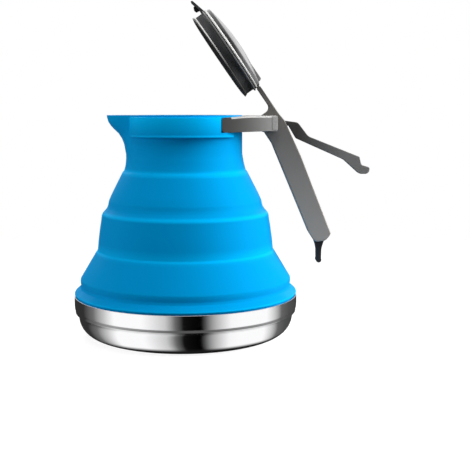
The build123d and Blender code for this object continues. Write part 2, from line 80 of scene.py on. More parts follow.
def between_levels(value, low, high, under, over):
    """A colour that changes from one to the other while a value goes from low to high."""
    share = world_nodes.new("ShaderNodeMapRange")
    share.interpolation_type = "SMOOTHSTEP"
    share.inputs["From Min"].default_value = low
    share.inputs["From Max"].default_value = high
    blend = world_nodes.new("ShaderNodeMix")
    blend.data_type = "RGBA"
    world_links.new(value, share.inputs["Value"])
    world_links.new(share.outputs["Result"], blend.inputs["Factor"])
    for label, shade in (("A", under), ("B", over)):
        if isinstance(shade, float):
            blend.inputs[label].default_value = (shade, shade, shade, 1.0)
        else:
            world_links.new(shade, blend.inputs[label])
    return blend.outputs["Result"]


VIEW_LINE = (0.0, 0.99, -0.16)  # from the camera to the kettle


def card_ring(cards):
    """The colour that gloss sees. The cards stand so that an upright surface shows each as a
    straight band. A card edge is given as (degrees, grey), where the degrees say how far such a
    surface is turned from the front to the handle's side."""
    place = world_nodes.new("ShaderNodeTexCoord")
    halfway = world_nodes.new("ShaderNodeVectorMath")
    halfway.operation = "SUBTRACT"
    halfway.inputs[1].default_value = VIEW_LINE
    facing = world_nodes.new("ShaderNodeVectorMath")
    facing.operation = "NORMALIZE"
    axes = world_nodes.new("ShaderNodeSeparateXYZ")
    front = world_nodes.new("ShaderNodeMath")
    front.operation = "MULTIPLY"
    front.inputs[1].default_value = -1.0
    turn = world_nodes.new("ShaderNodeMath")
    turn.operation = "ARCTAN2"
    share = world_nodes.new("ShaderNodeMapRange")
    share.inputs["From Min"].default_value = -pi / 2
    share.inputs["From Max"].default_value = pi / 2
    ring = world_nodes.new("ShaderNodeValToRGB")
    edges = ring.color_ramp.elements
    for number, (degrees, grey) in enumerate(cards):
        spot = (degrees + 90.0) / 180.0
        if number == 0:
            edge = edges[0]
        elif number == len(cards) - 1:
            edge = edges[-1]
        else:
            edge = edges.new(spot)
        edge.position = spot
        edge.color = (grey, grey, grey, 1.0)
    world_links.new(place.outputs["Generated"], halfway.inputs[0])
    world_links.new(halfway.outputs[0], facing.inputs[0])
    world_links.new(facing.outputs[0], axes.inputs[0])
    world_links.new(axes.outputs["Y"], front.inputs[0])
    world_links.new(axes.outputs["X"], turn.inputs[0])
    world_links.new(front.outputs[0], turn.inputs[1])
    world_links.new(turn.outputs[0], share.inputs["Value"])
    world_links.new(share.outputs["Result"], ring.inputs["Fac"])
    # Above the cards comes a dark gap and then the ceiling, below them the table
    upward = axes.outputs["Z"]
    world_axes = world_nodes.new("ShaderNodeSeparateXYZ")
    world_links.new(place.outputs["Generated"], world_axes.inputs[0])
    ceiling = between_levels(upward, 0.45, 0.56, 0.1, 1.3)
    overhead = between_levels(world_axes.outputs["Z"], 0.1, 0.18, ring.outputs["Color"], ceiling)
    raised = between_levels(upward, 0.2, 0.36, ring.outputs["Color"], overhead)
    return between_levels(upward, -0.8, -0.6, 0.01, raised)


mirrored = even_sky(1.05)
cards = card_ring(
    [
        (-90, 0.03), (-62, 0.03), (-52, 0.16), (-44, 0.55), (-37, 1.0), (-21, 1.0), (-15, 0.8),
        (-9, 0.6), (-4, 0.14), (0, 0.005), (9, 0.0), (11, 0.08), (16, 0.45), (24, 0.95), (30, 1.0),
        (46, 1.0), (52, 0.6), (58, 0.13), (66, 0.08), (90, 0.03),
    ]
)
world_links.new(cards, mirrored.inputs["Color"])
ray_kind = world_nodes.new("ShaderNodeLightPath")
gloss_mix = world_nodes.new("ShaderNodeMixShader")
camera_mix = world_nodes.new("ShaderNodeMixShader")
world_links.new(ray_kind.outputs["Is Glossy Ray"], gloss_mix.inputs["Fac"])
world_links.new(even_sky(0.15).outputs[0], gloss_mix.inputs[1])
world_links.new(mirrored.outputs[0], gloss_mix.inputs[2])
world_links.new(ray_kind.outputs["Is Camera Ray"], camera_mix.inputs["Fac"])
world_links.new(gloss_mix.outputs[0], camera_mix.inputs[1])
world_links.new(even_sky(1.0).outputs[0], camera_mix.inputs[2])
world_links.new(camera_mix.outputs[0], world_nodes["World Output"].inputs["Surface"])


# Studio's lamps. Two large softboxes on the handle's side, two small ones overhead, and one each for
# the spout's side and the back. Gloss doesn't see them, since it sees the cards.
LAMP_TARGET = Vector((0.02, 0.0, 0.1))


def softbox(name, place, width, height, watts):
    """A rectangular area lamp aimed at the middle of the body."""
    lamp_data = bpy.data.lights.new(name, "AREA")
    lamp_data.shape = "RECTANGLE"
    lamp_data.size = width
    lamp_data.size_y = height
    lamp_data.energy = watts
    lamp = bpy.data.objects.new(name, lamp_data)
    scene.collection.objects.link(lamp)
    lamp.location = place
    lamp.rotation_mode = "QUATERNION"
    lamp.rotation_quaternion = (LAMP_TARGET - Vector(place)).to_track_quat("-Z", "Y")
    lamp.visible_glossy = False


for name, place, width, height, watts in (
    ("key_right", (1.2, -0.3, 0.5), 0.6, 0.8, 12.3),
    ("key_side", (1.25, 0.15, 0.4), 0.5, 0.5, 12.5),
    ("overhead", (-0.05, -0.4, 0.78), 0.36, 0.36, 1.63),
    ("overhead_right", (0.55, -0.25, 0.8), 0.3, 0.3, 2.44),
    ("fill_left", (-0.9, -0.25, 0.22), 0.4, 0.4, 3.75),
    ("fill_back", (-0.35, 1.1, 0.8), 0.5, 0.5, 8.0),
):
    softbox(name, place, width, height, watts)


# Table. A matt round board, white to the camera and darker to everything else, that fades out into
# the sky before its edge shows.
def deselect():
    """Leave edit mode and let go of everything that is selected."""
    if bpy.context.object is not None and bpy.context.object.mode != "OBJECT":
        bpy.ops.object.mode_set(mode="OBJECT")
    bpy.ops.object.select_all(action="DESELECT")


def new_material(name, colour, roughness, metallic=0.0):
    """A material with one Principled BSDF, whose plain values are set on its own sockets."""
    material = bpy.data.materials.new(name)
    material.use_nodes = True
    shader = material.node_tree.nodes["Principled BSDF"]
    shader.inputs["Base Color"].default_value = (*colour, 1.0)
    shader.inputs["Roughness"].default_value = roughness
    shader.inputs["Metallic"].default_value = metallic
    material.diffuse_color = (*colour, 1.0)
    return material


deselect()
bpy.ops.mesh.primitive_circle_add(
    vertices=96, radius=0.9, fill_type="NGON", location=(0.03, 0.0, -0.0002)
)
table_top = bpy.context.object
table_top.name = "table_top"
table_top.visible_glossy = False
table_material = new_material("pale_table", (0.35, 0.35, 0.35), 0.7)
table_nodes = table_material.node_tree.nodes
table_links = table_material.node_tree.links
table_shader = table_nodes["Principled BSDF"]
table_shader.inputs["Emission Color"].default_value = (1.0, 1.0, 1.0, 1.0)
table_rays = table_nodes.new("ShaderNodeLightPath")
table_paint = table_nodes.new("ShaderNodeMix")
table_paint.data_type = "RGBA"
table_paint.inputs["A"].default_value = (0.14, 0.14, 0.14, 1.0)
table_paint.inputs["B"].default_value = (0.35, 0.35, 0.35, 1.0)
table_lift = table_nodes.new("ShaderNodeMath")
table_lift.operation = "MULTIPLY"
table_lift.inputs[1].default_value = 0.78
table_place = table_nodes.new("ShaderNodeTexCoord")
table_reach = table_nodes.new("ShaderNodeVectorMath")
table_reach.operation = "LENGTH"
table_fade = table_nodes.new("ShaderNodeMapRange")
table_fade.inputs["From Min"].default_value = 0.2
table_fade.inputs["From Max"].default_value = 0.6
table_clear = table_nodes.new("ShaderNodeBsdfTransparent")
table_blend = table_nodes.new("ShaderNodeMixShader")
table_links.new(table_rays.outputs["Is Camera Ray"], table_paint.inputs["Factor"])
table_links.new(table_rays.outputs["Is Camera Ray"], table_lift.inputs[0])
table_links.new(table_paint.outputs["Result"], table_shader.inputs["Base Color"])
table_links.new(table_lift.outputs[0], table_shader.inputs["Emission Strength"])
table_links.new(table_place.outputs["Object"], table_reach.inputs[0])
table_links.new(table_reach.outputs["Value"], table_fade.inputs["Value"])
table_links.new(table_fade.outputs["Result"], table_blend.inputs["Fac"])
table_links.new(table_shader.outputs[0], table_blend.inputs[1])
table_links.new(table_clear.outputs[0], table_blend.inputs[2])
table_links.new(table_blend.outputs[0], table_nodes["Material Output"].inputs["Surface"])
table_top.data.materials.append(table_material)


# Pan. Stainless steel sheet drawn into a bowl with a step and a rolled groove, then polished bright.
# It is a turned shape, so it is extruded ring by ring, and its corners are bevelled afterwards.
MM = 0.001
SMOOTH_ANGLE = radians(35.0)
SAME_PLACE = 0.02  # mm between corners that count as one


def select_rings(shape, rings):
    """In edit mode, select the edges that lie on rings of the given (radius, height), in mm."""
    bpy.ops.mesh.select_all(action="DESELECT")
    bpy.ops.object.mode_set(mode="OBJECT")
    sizes = [(hypot(point.co.x, point.co.y) / MM, point.co.z / MM) for point in shape.data.vertices]
    for radius, height in rings:
        near = {
            index
            for index, size in enumerate(sizes)
            if abs(size[0] - radius) < SAME_PLACE and abs(size[1] - height) < SAME_PLACE
        }
        for edge in shape.data.edges:
            if edge.vertices[0] in near and edge.vertices[1] in near:
                edge.select = True
    bpy.ops.object.mode_set(mode="EDIT")


def turned(name, corners, steps=160, solid=False):
    """A turned shape from (radius, height, bevel) corners in mm. A ring closes on its first corner,
    and a solid is closed by a disc at each end."""
    deselect()
    radius, height = corners[0][:2]
    bpy.ops.mesh.primitive_circle_add(
        vertices=steps, radius=radius * MM, fill_type="NOTHING", location=(0.0, 0.0, height * MM)
    )
    shape = bpy.context.object
    shape.name = name
    bpy.ops.object.transform_apply(location=True, rotation=False, scale=False)
    bpy.ops.object.mode_set(mode="EDIT")
    bpy.ops.mesh.select_mode(type="EDGE")
    bpy.ops.mesh.select_all(action="SELECT")
    for next_radius, next_height, _ in corners[1:]:
        rise = (next_height - height) * MM
        growth = next_radius / radius
        bpy.ops.mesh.extrude_region_move(TRANSFORM_OT_translate={"value": (0.0, 0.0, rise)})
        bpy.ops.transform.resize(
            value=(growth, growth, 1.0), center_override=(0.0, 0.0, next_height * MM)
        )
        radius, height = next_radius, next_height
    if solid:
        for end in (corners[0], corners[-1]):
            select_rings(shape, [end[:2]])
            bpy.ops.mesh.edge_face_add()
    else:
        select_rings(shape, [corners[0][:2], corners[-1][:2]])
        bpy.ops.mesh.bridge_edge_loops()
    for size in sorted({corner[2] for corner in corners if corner[2] > 0}):
        select_rings(shape, [corner[:2] for corner in corners if corner[2] == size])
        bpy.ops.mesh.bevel(offset=size * MM, segments=4, profile=0.5, affect="EDGES")
    bpy.ops.mesh.select_all(action="SELECT")
    bpy.ops.mesh.normals_make_consistent(inside=False)
    bpy.ops.object.mode_set(mode="OBJECT")
    bpy.ops.object.shade_smooth_by_angle(angle=SMOOTH_ANGLE)
    return shape


def quarter(centre, radius, start, end, count):
    """Ring corners along an arc of the section; angles in degrees from straight down."""
    turns = [radians(start + (end - start) * step / count) for step in range(count + 1)]
    return [(centre[0] + radius * sin(a), centre[1] - radius * cos(a), 0) for a in turns]


def finish_piece(shape, material, body, slot, *nodes):
    """Give a piece its material, its body and the CAD nodes that it stands for. Its slot is not used.
    """
    shape.data.materials.clear()
    shape.data.materials.append(material)
    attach(shape, body)
    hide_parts(*nodes)


def add_value_noise(material, scale, low, high, socket, stretch=(1.0, 1.0, 1.0)):
    """Drive one socket of the shader by a soft noise between two values, in object space."""
    nodes = material.node_tree.nodes
    links = material.node_tree.links
    place = nodes.new("ShaderNodeTexCoord")
    spread = nodes.new("ShaderNodeMapping")
    spread.inputs["Scale"].default_value = stretch
    noise = nodes.new("ShaderNodeTexNoise")
    noise.inputs["Scale"].default_value = scale
    noise.inputs["Detail"].default_value = 4.0
    limits = nodes.new("ShaderNodeMapRange")
    limits.inputs["From Min"].default_value = 0.3
    limits.inputs["From Max"].default_value = 0.7
    limits.inputs["To Min"].default_value = low
    limits.inputs["To Max"].default_value = high
    links.new(place.outputs["Object"], spread.inputs["Vector"])
    links.new(spread.outputs["Vector"], noise.inputs["Vector"])
    links.new(noise.outputs["Fac"], limits.inputs["Value"])
    links.new(limits.outputs["Result"], nodes["Principled BSDF"].inputs[socket])


polished_steel = new_material("polished_steel", (0.92, 0.92, 0.93), 0.07, 1.0)
add_value_noise(polished_steel, 90.0, 0.045, 0.1, "Roughness", (1.0, 1.0, 9.0))

BEND_CENTRE, BEND_RADIUS, SHEET = (66.7, 15.1), 15.1, 1.2
pan = turned(
    "pan",
    [
        (20.0, 0.0, 0),
        *quarter(BEND_CENTRE, BEND_RADIUS, 0, 90, 12),
        (82.0, 16.3, 0),
        (82.7, 17.1, 0),
        (83.7, 17.8, 0),
        (84.4, 18.5, 0.2),
        (83.45, 20.4, 0.1),
        (84.75, 21.2, 0.12),
        (85.0, 24.0, 0),
        (85.0, 31.0, 0.3),
        (83.62, 31.0, 0.2),
        (83.6, 22.4, 0),
        (82.7, 21.2, 0),
        (82.7, 18.6, 0),
        (81.5, 17.0, 0),
        *quarter(BEND_CENTRE, BEND_RADIUS - SHEET, 88, 0, 10),
        (20.0, SHEET, 0),
    ],
    steps=192,
    solid=True,
)
finish_piece(pan, polished_steel, "base", "pan_steel", "base_pan")

# Clamp ring, pins and screws. Plain stainless steel, small or hidden inside, so the CAD shapes stay.
plain_steel = new_material("plain_steel", (0.55, 0.55, 0.56), 0.3, 1.0)
add_value_noise(plain_steel, 400.0, 0.24, 0.38, "Roughness", (1.0, 1.0, 0.2))


def finish_node(name, material):
    """Give a CAD node that stays its finished material."""
    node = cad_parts[name]
    if not node.data.materials:
        node.data.materials.append(material)
    for place in range(len(node.data.materials)):
        node.data.materials[place] = material


for name in (
    "clamp_ring", "lever_screws", "hinge_pin", "latch_pin", "lid_hinge_pin", "seal_washer",
    "lid_screw",
):
    finish_node(name, plain_steel)


# Moulded finish. A node group that nylon and silicone share: a slow drift of the colour, a fine grain
# from the tool's sparked steel, and a drift of the gloss where hands have polished it. Its painted
# shading input mixes in the second colour as painted light and shade.
def build_moulded_finish():
    """The shader node group, with its inputs and outputs."""
    group = bpy.data.node_groups.new("moulded_finish", "ShaderNodeTree")
    face = group.interface
    face.new_socket("Colour", in_out="INPUT", socket_type="NodeSocketColor")
    face.new_socket("Drift And Painted Shading Colour", in_out="INPUT", socket_type="NodeSocketColor")
    for label in ("Painted Shading", "Drift", "Gloss Low", "Gloss High", "Grain Size"):
        face.new_socket(label, in_out="INPUT", socket_type="NodeSocketFloat")
    face.new_socket("Colour", in_out="OUTPUT", socket_type="NodeSocketColor")
    face.new_socket("Roughness", in_out="OUTPUT", socket_type="NodeSocketFloat")
    face.new_socket("Height", in_out="OUTPUT", socket_type="NodeSocketFloat")
    nodes, links = group.nodes, group.links
    entry = nodes.new("NodeGroupInput")
    leave = nodes.new("NodeGroupOutput")
    place = nodes.new("ShaderNodeTexCoord")
    slow = nodes.new("ShaderNodeTexNoise")
    slow.inputs["Scale"].default_value = 22.0
    slow.inputs["Detail"].default_value = 3.0
    share = nodes.new("ShaderNodeMath")
    share.operation = "MULTIPLY_ADD"
    shade = nodes.new("ShaderNodeMix")
    shade.data_type = "RGBA"
    patches = nodes.new("ShaderNodeTexNoise")
    patches.inputs["Scale"].default_value = 70.0
    gloss = nodes.new("ShaderNodeMapRange")
    gloss.inputs["From Min"].default_value = 0.3
    gloss.inputs["From Max"].default_value = 0.7
    grain = nodes.new("ShaderNodeTexNoise")
    grain.inputs["Detail"].default_value = 2.0
    links.new(place.outputs["Object"], slow.inputs["Vector"])
    links.new(place.outputs["Object"], patches.inputs["Vector"])
    links.new(place.outputs["Object"], grain.inputs["Vector"])
    links.new(slow.outputs["Fac"], share.inputs[0])
    links.new(entry.outputs["Drift"], share.inputs[1])
    links.new(entry.outputs["Painted Shading"], share.inputs[2])
    links.new(share.outputs[0], shade.inputs["Factor"])
    links.new(entry.outputs["Colour"], shade.inputs["A"])
    links.new(entry.outputs["Drift And Painted Shading Colour"], shade.inputs["B"])
    links.new(patches.outputs["Fac"], gloss.inputs["Value"])
    links.new(entry.outputs["Gloss Low"], gloss.inputs["To Min"])
    links.new(entry.outputs["Gloss High"], gloss.inputs["To Max"])
    links.new(entry.outputs["Grain Size"], grain.inputs["Scale"])
    links.new(shade.outputs["Result"], leave.inputs["Colour"])
    links.new(gloss.outputs["Result"], leave.inputs["Roughness"])
    links.new(grain.outputs["Fac"], leave.inputs["Height"])
    return group


moulded_finish = build_moulded_finish()


def moulded(name, colour, mix_end, drift, gloss, grain_size, grain_depth):
    """A moulded material: colours, share of drift, gloss range, grain scale and depth in mm."""
    material = new_material(name, colour, gloss[0])
    nodes = material.node_tree.nodes
    links = material.node_tree.links
    shader = nodes["Principled BSDF"]
    shader.inputs["Specular IOR Level"].default_value = 0.3
    finish = nodes.new("ShaderNodeGroup")
    finish.node_tree = moulded_finish
    finish.inputs["Colour"].default_value = (*colour, 1.0)
    finish.inputs["Drift And Painted Shading Colour"].default_value = (*mix_end, 1.0)
    finish.inputs["Drift"].default_value = drift
    finish.inputs["Gloss Low"].default_value = gloss[0]
    finish.inputs["Gloss High"].default_value = gloss[1]
    finish.inputs["Grain Size"].default_value = grain_size
    bump = nodes.new("ShaderNodeBump")
    bump.inputs["Strength"].default_value = 0.5
    bump.inputs["Distance"].default_value = grain_depth * MM
    links.new(finish.outputs["Colour"], shader.inputs["Base Color"])
    links.new(finish.outputs["Roughness"], shader.inputs["Roughness"])
    links.new(finish.outputs["Height"], bump.inputs["Height"])
    links.new(bump.outputs["Normal"], shader.inputs["Normal"])
    return material


def paint_shading_along(material, axis, mix_start, mix_end, curve=1.0):
    """Paint shading on a moulded material: its colour goes from its own to the second one between two
    places, in mm. A curve above 1 makes it start slowly."""
    nodes = material.node_tree.nodes
    links = material.node_tree.links
    place = nodes.new("ShaderNodeTexCoord")
    axes = nodes.new("ShaderNodeSeparateXYZ")
    share = nodes.new("ShaderNodeMapRange")
    share.inputs["From Min"].default_value = mix_start * MM
    share.inputs["From Max"].default_value = mix_end * MM
    links.new(place.outputs["Object"], axes.inputs[0])
    ease = nodes.new("ShaderNodeMath")
    ease.operation = "POWER"
    ease.inputs[1].default_value = curve
    links.new(axes.outputs[axis], share.inputs["Value"])
    links.new(share.outputs["Result"], ease.inputs[0])
    links.new(ease.outputs[0], nodes["Group"].inputs["Painted Shading"])


# Silicone body. One azure moulding in a real kettle: a foot clamped in the pan, two sloping webs that
# fold through, a stiff ring between them, and the thick neck. Here it is drawn in two halves that
# meet half way up the ring.
silicone = moulded(
    "azure_silicone", (0.0, 0.287, 0.645), (0.0, 0.46, 0.92), 0.06, (0.46, 0.58), 2600.0, 0.03
)
silicone_nodes = silicone.node_tree.nodes
# The second colour, set by the crease marks, is a painted highlight along the creases' edges.
crease_highlight_mark = silicone_nodes.new("ShaderNodeAttribute")
crease_highlight_mark.attribute_name = "crease"
silicone.node_tree.links.new(crease_highlight_mark.outputs["Fac"], silicone_nodes["Group"].inputs["Painted Shading"])
silicone_shader = silicone_nodes["Principled BSDF"]
silicone_shader.inputs["IOR"].default_value = 1.41
silicone_shader.inputs["Specular IOR Level"].default_value = 0.1
silicone_shader.inputs["Specular Tint"].default_value = (0.1, 0.5, 1.0, 1.0)


def soft_step(low, high, value):
    """0 below low and 1 above high, with a smooth rise between them."""
    share = min(1.0, max(0.0, (value - low) / (high - low)))
    return share * share * (3.0 - 2.0 * share)


def mark_crease_highlights(shape, creases):
    """Note on the mesh where a painted highlight runs along a crease: (height, reach, share), in mm.
    """
    mark = shape.data.attributes.new("crease", "FLOAT", "POINT")
    for point, note in zip(shape.data.vertices, mark.data):
        note.value = max(
            share * (1.0 - soft_step(0.3, 1.0, abs(point.co.z / MM - height) / reach))
            for height, reach, share in creases
        )


def web(start, end, count):
    """Ring corners of a web between two (radius, height) points, without the ends."""
    return [
        (
            start[0] + (end[0] - start[0]) * step / count,
            start[1] + (end[1] - start[1]) * step / count,
            0,
        )
        for step in range(1, count)
    ]


silicone_lower = turned(
    "silicone_lower",
    [
        (81.4, 22.5, 0.3),
        (83.5, 22.5, 0.3),
        (83.5, 31.9, 0),
        (84.55, 31.9, 0.15),
        (84.75, 32.7, 0.25),
        (84.3, 33.5, 0.3),
        (80.2, 37.0, 0.4),
        (79.8, 38.9, 0.4),
        (80.15, 41.0, 0.4),
        (80.15, 42.9, 0.5),
        (79.95, 43.6, 0.3),
        *web((79.95, 43.6), (67.8, 63.8), 9),
        (67.8, 63.8, 0.3),
        (66.75, 65.3, 0.35),
        (66.1, 72.0, 0),
        (65.2, 78.6, 0),
        (62.4, 78.6, 0),
        (63.6, 67.0, 0.8),
        (65.1, 63.2, 0.8),
        *web((65.1, 63.2), (77.5, 43.1), 9),
        (77.5, 43.1, 0.8),
        (77.9, 37.0, 0.8),
        (81.4, 32.0, 0.8),
    ],
    steps=192,
)
# Painted highlights along the foot's lip and the lower web's crease.
mark_crease_highlights(silicone_lower, [(33.0, 0.8, 0.5), (64.8, 1.7, 0.7)])
silicone_lower.data.materials.append(silicone)
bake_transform(silicone_lower)
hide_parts("lower_skirt", "lower_fold_wall", "middle_band")

NECK_RADIUS, NECK_TOP = 43.2, 166.3
NECK_LEVELS = (
    139.7, 142.2, 144.7, 146.8, 148.9, 150.9, 152.8, 154.3, 155.8, 157.0, 158.1, 159.6, 161.2,
    162.7, 164.3,
)

silicone_upper = turned(
    "silicone_upper",
    [
        (65.2, 78.6, 0),
        (64.6, 83.0, 0),
        (63.85, 87.2, 0),
        (63.3, 91.5, 0.5),
        (62.5, 93.2, 0.4),
        (60.35, 95.5, 0.5),
        (59.2, 97.1, 0.7),
        (58.3, 99.4, 0.8),
        (57.8, 102.3, 0.8),
        (55.5, 107.5, 0.6),
        *web((55.5, 107.5), (48.1, 122.0), 7),
        (48.1, 122.0, 0.8),
        (47.2, 123.8, 0.4),
        (45.95, 125.2, 0.4),
        (45.3, 127.4, 0.8),
        (44.45, 130.5, 1.0),
        (43.8, 134.3, 1.0),
        (43.3, 137.0, 0),
        *[(NECK_RADIUS, height, 0) for height in NECK_LEVELS],
        (NECK_RADIUS, NECK_TOP, 0.5),
        (36.2, NECK_TOP, 0.4),
        (36.2, 163.6, 0.2),
        (35.0, 163.6, 0.2),
        (35.0, 160.2, 0),
        (35.0, 157.0, 0.6),
        (40.8, 151.6, 0.6),
        (40.8, 148.4, 0),
        (40.8, 145.0, 0),
        (40.85, 141.0, 0),
        (41.0, 137.6, 0),
        (41.2, 134.8, 0.8),
        (42.1, 129.8, 0.8),
        (44.2, 124.2, 0.8),
        *web((44.2, 124.2), (57.2, 95.4), 12),
        (57.2, 95.4, 0.8),
        (59.8, 91.4, 0.8),
        (61.4, 86.4, 0.8),
        (62.4, 78.6, 0),
    ],
    steps=224,
)
# Painted highlights along the ring's shoulder and the neck's crease.
mark_crease_highlights(silicone_upper, [(93.3, 2.0, 0.7), (124.3, 3.2, 0.55)])
silicone_upper.data.materials.append(silicone)


# Beak. Moulded with the neck: its wall is drawn out into a trough that is round at the tip and flows
# back into the neck on both sides, and the mouth opens into it.
BEAK_LINE = [
    (128.0, 0.0), (134.3, 0.6), (139.7, 1.7), (144.7, 2.6), (148.9, 4.2), (152.8, 6.8),
    (155.8, 10.0), (158.1, 12.2), (161.2, 14.3), (164.3, 15.2), (166.3, 15.6),
]
BEAK_WALL = 2.4
BEAK_TURN, BEAK_SPREAD = 22.5, 0.3  # degrees to each side at the rim, and more per mm below it
BEAK_CROWDING = 0.55  # how much closer together the steps are drawn at the beak
WALL_MIDDLE = 42.6  # radius between the neck's two sides


def beak_reach(height):
    """How far the beak's tip stands out of the neck at a height, in mm, by (height, reach)."""
    for (low, near), (high, far) in zip(BEAK_LINE, BEAK_LINE[1:]):
        if low <= height <= high:
            return near + (far - near) * (height - low) / (high - low)
    return 0.0 if height < BEAK_LINE[0][0] else BEAK_LINE[-1][1]


for point in silicone_upper.data.vertices:
    turn = atan2(point.co.y, -point.co.x)
    radius, height = hypot(point.co.x, point.co.y) / MM, point.co.z / MM
    turn -= BEAK_CROWDING * sin(turn)
    if height > BEAK_LINE[0][0]:
        share = abs(turn) / radians(BEAK_TURN + BEAK_SPREAD * (NECK_TOP - height))
        swell = beak_reach(height) * (1.0 - min(1.0, share) ** 2) ** 1.25
        if radius > WALL_MIDDLE:
            radius += swell
        else:
            room = max(0.0, NECK_RADIUS + swell - BEAK_WALL - radius)
            radius += 0.97 * room * (1.0 - soft_step(0.3, 1.0, share))
    point.co.x, point.co.y = -radius * cos(turn) * MM, radius * sin(turn) * MM
silicone_upper.data.update()
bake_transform(silicone_upper)
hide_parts("middle_band", "upper_fold_wall", "neck_and_spout")


# Sleeve. A thick band round the neck, moulded with it, that holds the handle's ring. It grows out of
# the neck beside the beak, and is cut away where the yoke's arms come out.
def apply_modifiers(shape):
    """Apply a piece's modifiers, first to last."""
    deselect()
    shape.select_set(True)
    bpy.context.view_layer.objects.active = shape
    for modifier in list(shape.modifiers):
        bpy.ops.object.modifier_apply(modifier=modifier.name)


def carve(shape, cutter):
    """Cut one closed shape with another, which is thrown away."""
    cut = shape.modifiers.new("cut", "BOOLEAN")
    cut.object = cutter
    cut.operation = "DIFFERENCE"
    cut.solver = "EXACT"
    apply_modifiers(shape)
    bpy.data.objects.remove(cutter)


def round_edges(shape, width, angle=40.0, segments=3):
    """Round every edge that turns by more than an angle; width in mm."""
    bevel = shape.modifiers.new("round", "BEVEL")
    bevel.width = width * MM
    bevel.segments = segments
    bevel.limit_method = "ANGLE"
    bevel.angle_limit = radians(angle)
    apply_modifiers(shape)
    bpy.ops.object.shade_smooth_by_angle(angle=SMOOTH_ANGLE)
    flatten = shape.modifiers.new("flat_faces", "WEIGHTED_NORMAL")
    flatten.keep_sharp = True
    apply_modifiers(shape)


def block(name, low, high):
    """A box between two corners, in mm, to carve with or to build on."""
    deselect()
    middle = [(a + b) / 2 * MM for a, b in zip(low, high)]
    bpy.ops.mesh.primitive_cube_add(size=1.0, location=middle)
    shape = bpy.context.object
    shape.name = name
    shape.scale = [(b - a) * MM for a, b in zip(low, high)]
    bpy.ops.object.transform_apply(location=True, rotation=False, scale=True)
    return shape


sleeve = turned(
    "sleeve",
    [
        (WALL_MIDDLE, 150.4, 0),
        (47.1, 150.4, 0.2),
        (47.35, 151.1, 0.3),
        (46.9, 152.3, 0.4),
        (46.9, 164.9, 0.6),
        (WALL_MIDDLE, 164.9, 0),
    ],
    steps=192,
)
for point in sleeve.data.vertices:
    turn = atan2(point.co.y, -point.co.x)
    radius = hypot(point.co.x, point.co.y) / MM
    grown = max(0.04, soft_step(radians(12.0), radians(54.0), abs(turn)))
    radius = WALL_MIDDLE + (radius - WALL_MIDDLE) * grown
    point.co.x, point.co.y = -radius * cos(turn) * MM, radius * sin(turn) * MM
sleeve.data.update()
for side, low, high in (
    ("handle_side", (37.0, -60.0, 140.0), (60.0, 60.0, 170.0)),
    ("window", (27.9, -60.0, 153.9), (60.0, 60.0, 170.0)),
    ("beak_side", (-60.0, -13.0, 140.0), (-30.0, 13.0, 170.0)),
):
    carve(sleeve, block(side, low, high))
round_edges(sleeve, 0.6, angle=55.0, segments=4)
# Painted highlights along the sleeve's lower lip and its top edge.
mark_crease_highlights(sleeve, [(151.3, 1.0, 0.4), (164.3, 1.3, 1.0)])
finish_piece(sleeve, silicone, "neck", "body_silicone", "neck_and_spout")


# Yoke. Mid-grey nylon: two arms that run from the neck to the hinge, each ending in a lug. The sleeve
# grips the ring that they start from, so only the ring's half on the handle's side is drawn.
def outline_block(name, outline, low, high, flat="Z"):
    """A slab from a closed outline in mm: one of (x, y) between two heights when it lies flat in Z,
    or one of (x, z) between two ys."""
    deselect()
    bpy.ops.mesh.primitive_circle_add(vertices=len(outline), radius=0.01, fill_type="NGON")
    shape = bpy.context.object
    shape.name = name
    for point, (first, second) in zip(shape.data.vertices, outline):
        place = (first, second, low) if flat == "Z" else (first, low, second)
        point.co = [size * MM for size in place]
    thick = (high - low) * MM
    step = (0.0, 0.0, thick) if flat == "Z" else (0.0, thick, 0.0)
    bpy.ops.object.mode_set(mode="EDIT")
    bpy.ops.mesh.select_all(action="SELECT")
    bpy.ops.mesh.extrude_region_move(TRANSFORM_OT_translate={"value": step})
    bpy.ops.mesh.select_all(action="SELECT")
    bpy.ops.mesh.normals_make_consistent(inside=False)
    bpy.ops.object.mode_set(mode="OBJECT")
    return shape


def rounded(corners, steps=6):
    """Outline points from (x, y, radius) corners, with an arc at each corner that has a radius."""
    points = []
    for index, (x, y, radius) in enumerate(corners):
        if radius <= 0:
            points.append((x, y))
            continue
        here = Vector((x, y))
        back = (Vector(corners[index - 1][:2]) - here).normalized()
        ahead = (Vector(corners[(index + 1) % len(corners)][:2]) - here).normalized()
        half = back.angle(ahead) / 2
        centre = here + (back + ahead).normalized() * (radius / sin(half))
        start = here + back * (radius / tan(half)) - centre
        end = here + ahead * (radius / tan(half)) - centre
        turn = start.angle_signed(end)
        for step in range(steps + 1):
            spoke = start.copy()
            spoke.rotate(Matrix.Rotation(-turn * step / steps, 2))
            points.append(tuple(centre + spoke))
    return points


def bevel_edges(shape, width, segments, wanted):
    """Bevel the edges whose two ends, in mm, a test accepts."""
    deselect()
    shape.select_set(True)
    bpy.context.view_layer.objects.active = shape
    bpy.ops.object.mode_set(mode="EDIT")
    bpy.ops.mesh.select_mode(type="EDGE")
    bpy.ops.mesh.select_all(action="DESELECT")
    bpy.ops.object.mode_set(mode="OBJECT")
    for edge in shape.data.edges:
        ends = [shape.data.vertices[index].co / MM for index in edge.vertices]
        edge.select = wanted(*ends)
    bpy.ops.object.mode_set(mode="EDIT")
    bpy.ops.mesh.bevel(offset=width * MM, segments=segments, profile=0.5, affect="EDGES")
    bpy.ops.object.mode_set(mode="OBJECT")


def join(shapes):
    """Join pieces of one moulding into the first."""
    deselect()
    for shape in shapes:
        shape.select_set(True)
    bpy.context.view_layer.objects.active = shapes[0]
    bpy.ops.object.join()
    return shapes[0]


